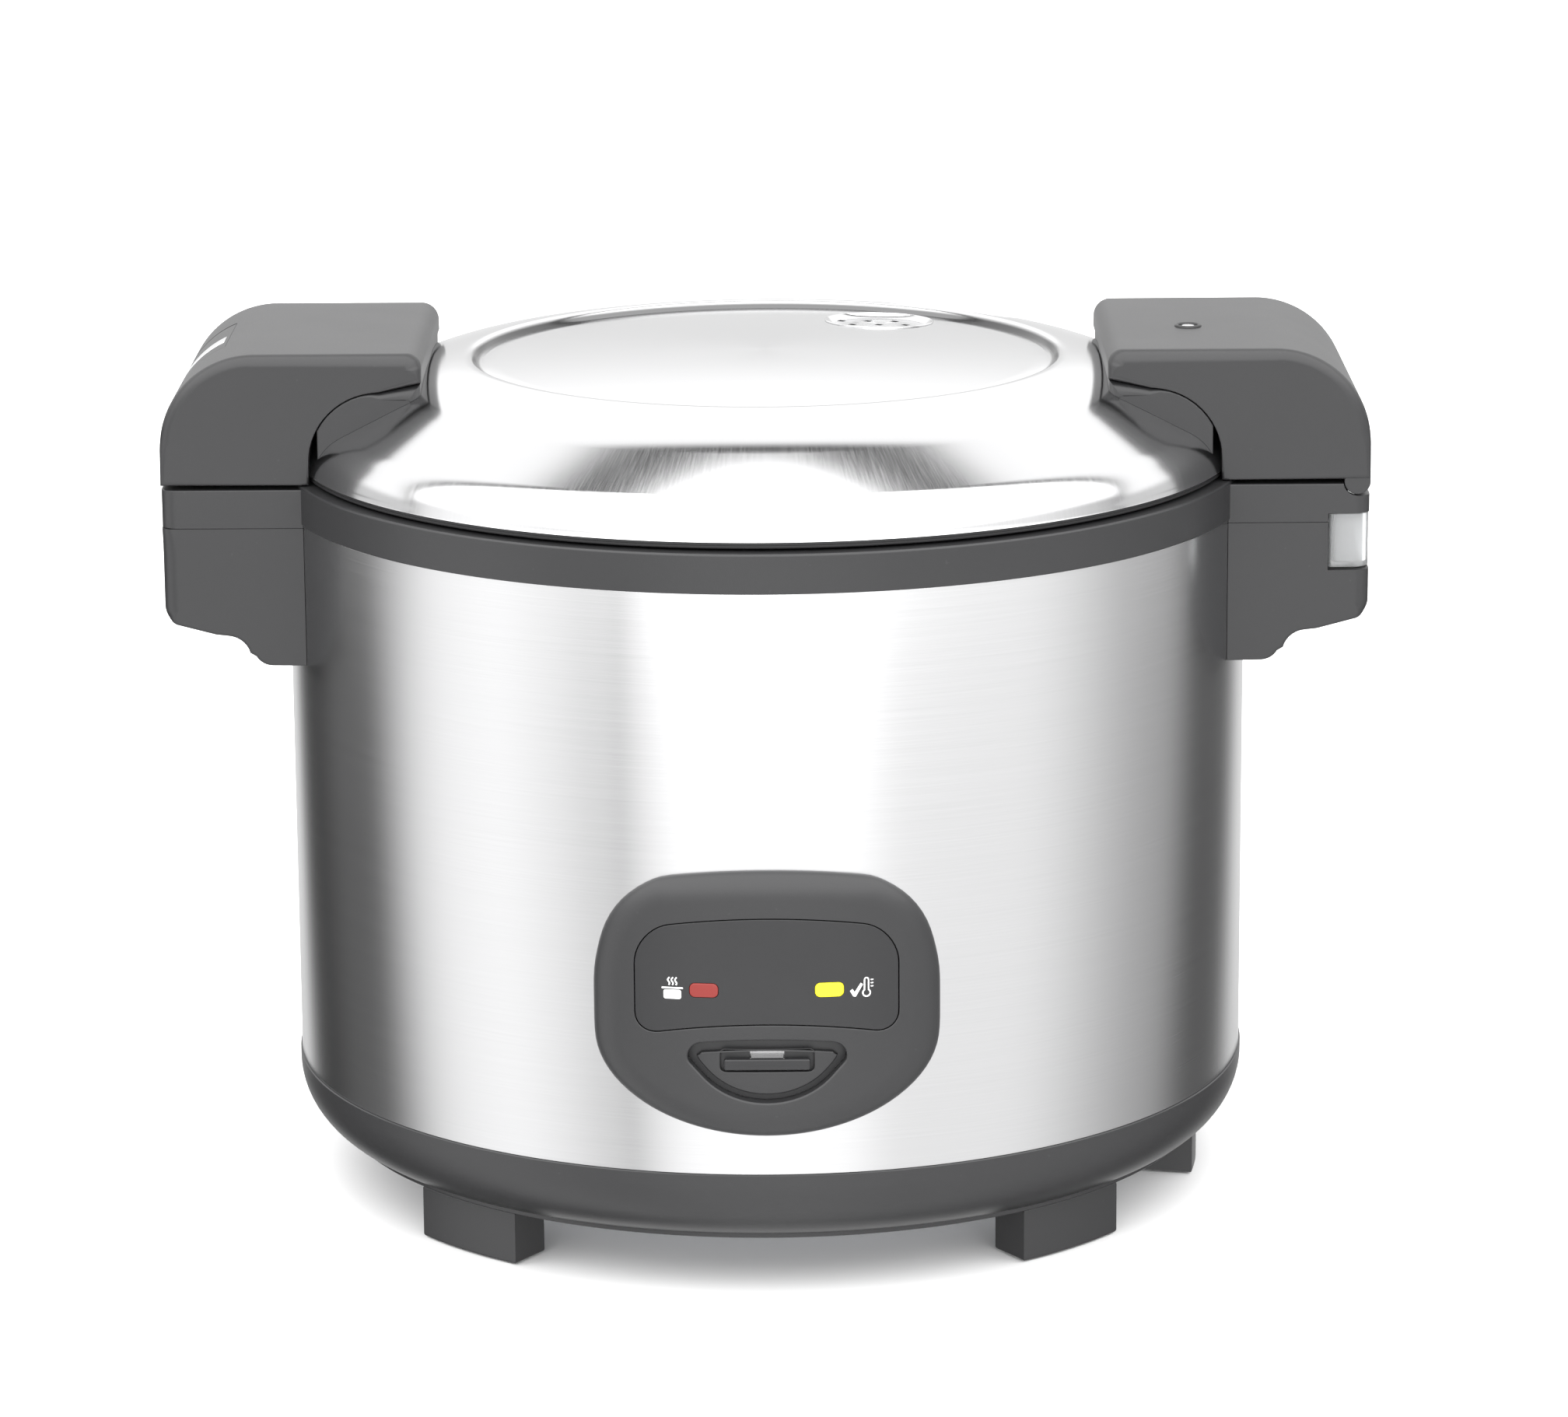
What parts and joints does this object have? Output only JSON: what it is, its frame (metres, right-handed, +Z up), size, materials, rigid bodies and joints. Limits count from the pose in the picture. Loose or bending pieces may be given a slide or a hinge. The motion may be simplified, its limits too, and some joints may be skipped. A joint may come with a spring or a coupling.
{
  "type": "rice cooker",
  "caption": "Electric rice cooker with a brushed steel body, side-hinged steel lid, two box handles with latch and hinge, lever switch panel, drip cup and block feet.",
  "frame": {"origin": "on the surface that it stands on, under the middle of the pot", "axes": "+X towards the hinge handle, -Y towards the control panel, +Z up"},
  "size_m": [0.455, 0.38, 0.3321],
  "materials": {
    "body_plastic": "fine-textured matt grey moulding",
    "dark_plastic": "satin near-black moulding",
    "window_gloss": "glossy smoked window",
    "shell_steel": "brushed round the body",
    "lid_steel": "brushed with short strokes",
    "plated_steel": "zinc plated",
    "pot_aluminium": "satin",
    "cast_plate": "cast and turned",
    "rubber_black": "matt",
    "seal_grey": "soft silicone",
    "lens_red": "translucent red",
    "lens_yellow": "lit yellow",
    "cup_clear": "clear moulded plastic",
    "mica_band": "mica heater sheet",
    "wool_pad": "mineral wool felt",
    "pin_brass": "bright",
    "ceramic_white": "cream insulating moulding",
    "label_white": "blank film label",
    "inlay_silver": "satin strip",
    "board_green": "lamp board"
  },
  "bodies": {
    "root": {"base_ring": "body_plastic", "bottom_plate": "plated_steel", "feet": "dark_plastic", "foot_pads": "rubber_black", "base_screws": "plated_steel", "outer_shell": "shell_steel", "body_rim": "body_plastic", "left_handle": "body_plastic", "right_handle": "body_plastic", "handle_screws": "plated_steel", "inner_casing": "plated_steel", "keep_warm_band": "mica_band", "heating_plate": "cast_plate", "heating_element": "plated_steel", "plate_posts": "plated_steel", "inner_pot": "pot_aluminium", "thermostat_sleeve": "plated_steel", "cap_spring": "plated_steel", "lever_bracket": "plated_steel", "lever_pin": "plated_steel", "microswitch": "dark_plastic", "thermal_fuse": "ceramic_white", "terminal_block": "ceramic_white", "panel_bezel": "body_plastic", "panel_window": "window_gloss", "switch_plate": "dark_plastic", "cook_lens": "lens_red", "warm_lens": "lens_yellow", "lamp_board": "board_green", "inlet_housing": "body_plastic", "power_inlet": "dark_plastic", "inlet_pins": "pin_brass", "latch_keeper": "plated_steel", "hinge_pin": "plated_steel"},
    "lid": {"lid_skin": "lid_steel", "lid_ring": "dark_plastic", "lid_liner": "pot_aluminium", "lid_insulation": "wool_pad", "steam_duct": "dark_plastic", "inner_lid": "pot_aluminium", "lid_gasket": "seal_grey", "lid_knob": "rubber_black", "lid_label": "label_white", "latch_block": "body_plastic", "latch_foot": "dark_plastic", "latch_pin": "plated_steel", "latch_spring": "plated_steel", "hinge_block": "body_plastic", "hinge_foot": "dark_plastic", "plug_ring": "dark_plastic", "lid_screws": "plated_steel"},
    "latch_button": {"latch_button": "body_plastic", "button_inlay": "inlay_silver"},
    "latch_hook": {"latch_hook": "plated_steel"},
    "cook_lever": {"cook_lever": "window_gloss"},
    "magnet_carrier": {"magnet_carrier": "plated_steel"},
    "thermostat_cap": {"thermostat_cap": "pot_aluminium"},
    "drip_cup": {"drip_cup": "cup_clear"}
  },
  "joints": [
    {"name": "lid_hinge", "type": "hinge", "parent": "root", "child": "lid", "pos_m": [0.2225, 0, 0.2812], "axis": [0, 1, 0], "range_deg": [0, 88]},
    {"name": "latch_button_slide", "type": "slide", "parent": "lid", "child": "latch_button", "axis": [0.7071, 0, -0.7071], "range_m": [0, 0.002], "stiffness_N_per_m": 600, "springref_m": -0.003, "deforming": ["latch_spring"]},
    {"name": "latch_hook_pivot", "type": "hinge", "parent": "lid", "child": "latch_hook", "pos_m": [-0.208, 0, 0.299], "axis": [0, 1, 0], "range_deg": [0, 13.4]},
    {"name": "cook_lever_pivot", "type": "hinge", "parent": "root", "child": "cook_lever", "pos_m": [0, -0.118, 0.033], "axis": [1, 0, 0], "range_deg": [-1.8, 0]},
    {"name": "magnet_lift", "type": "slide", "parent": "root", "child": "magnet_carrier", "axis": [0, 0, 1], "range_m": [-0.00375, 0]},
    {"name": "thermostat_cap_slide", "type": "slide", "parent": "root", "child": "thermostat_cap", "axis": [0, 0, 1], "range_m": [-0.0015, 0], "stiffness_N_per_m": 700, "springref_m": 0.003, "deforming": ["cap_spring"]},
    {"name": "drip_cup_slide", "type": "slide", "parent": "root", "child": "drip_cup", "axis": [1, 0, 0], "range_m": [0, 0.03]}
  ],
  "couplings": [
    {"joint": "latch_hook_pivot", "follows": "latch_button_slide", "rad_per_m": 115},
    {"joint": "magnet_lift", "follows": "cook_lever_pivot", "m_per_rad": 0.118}
  ]
}
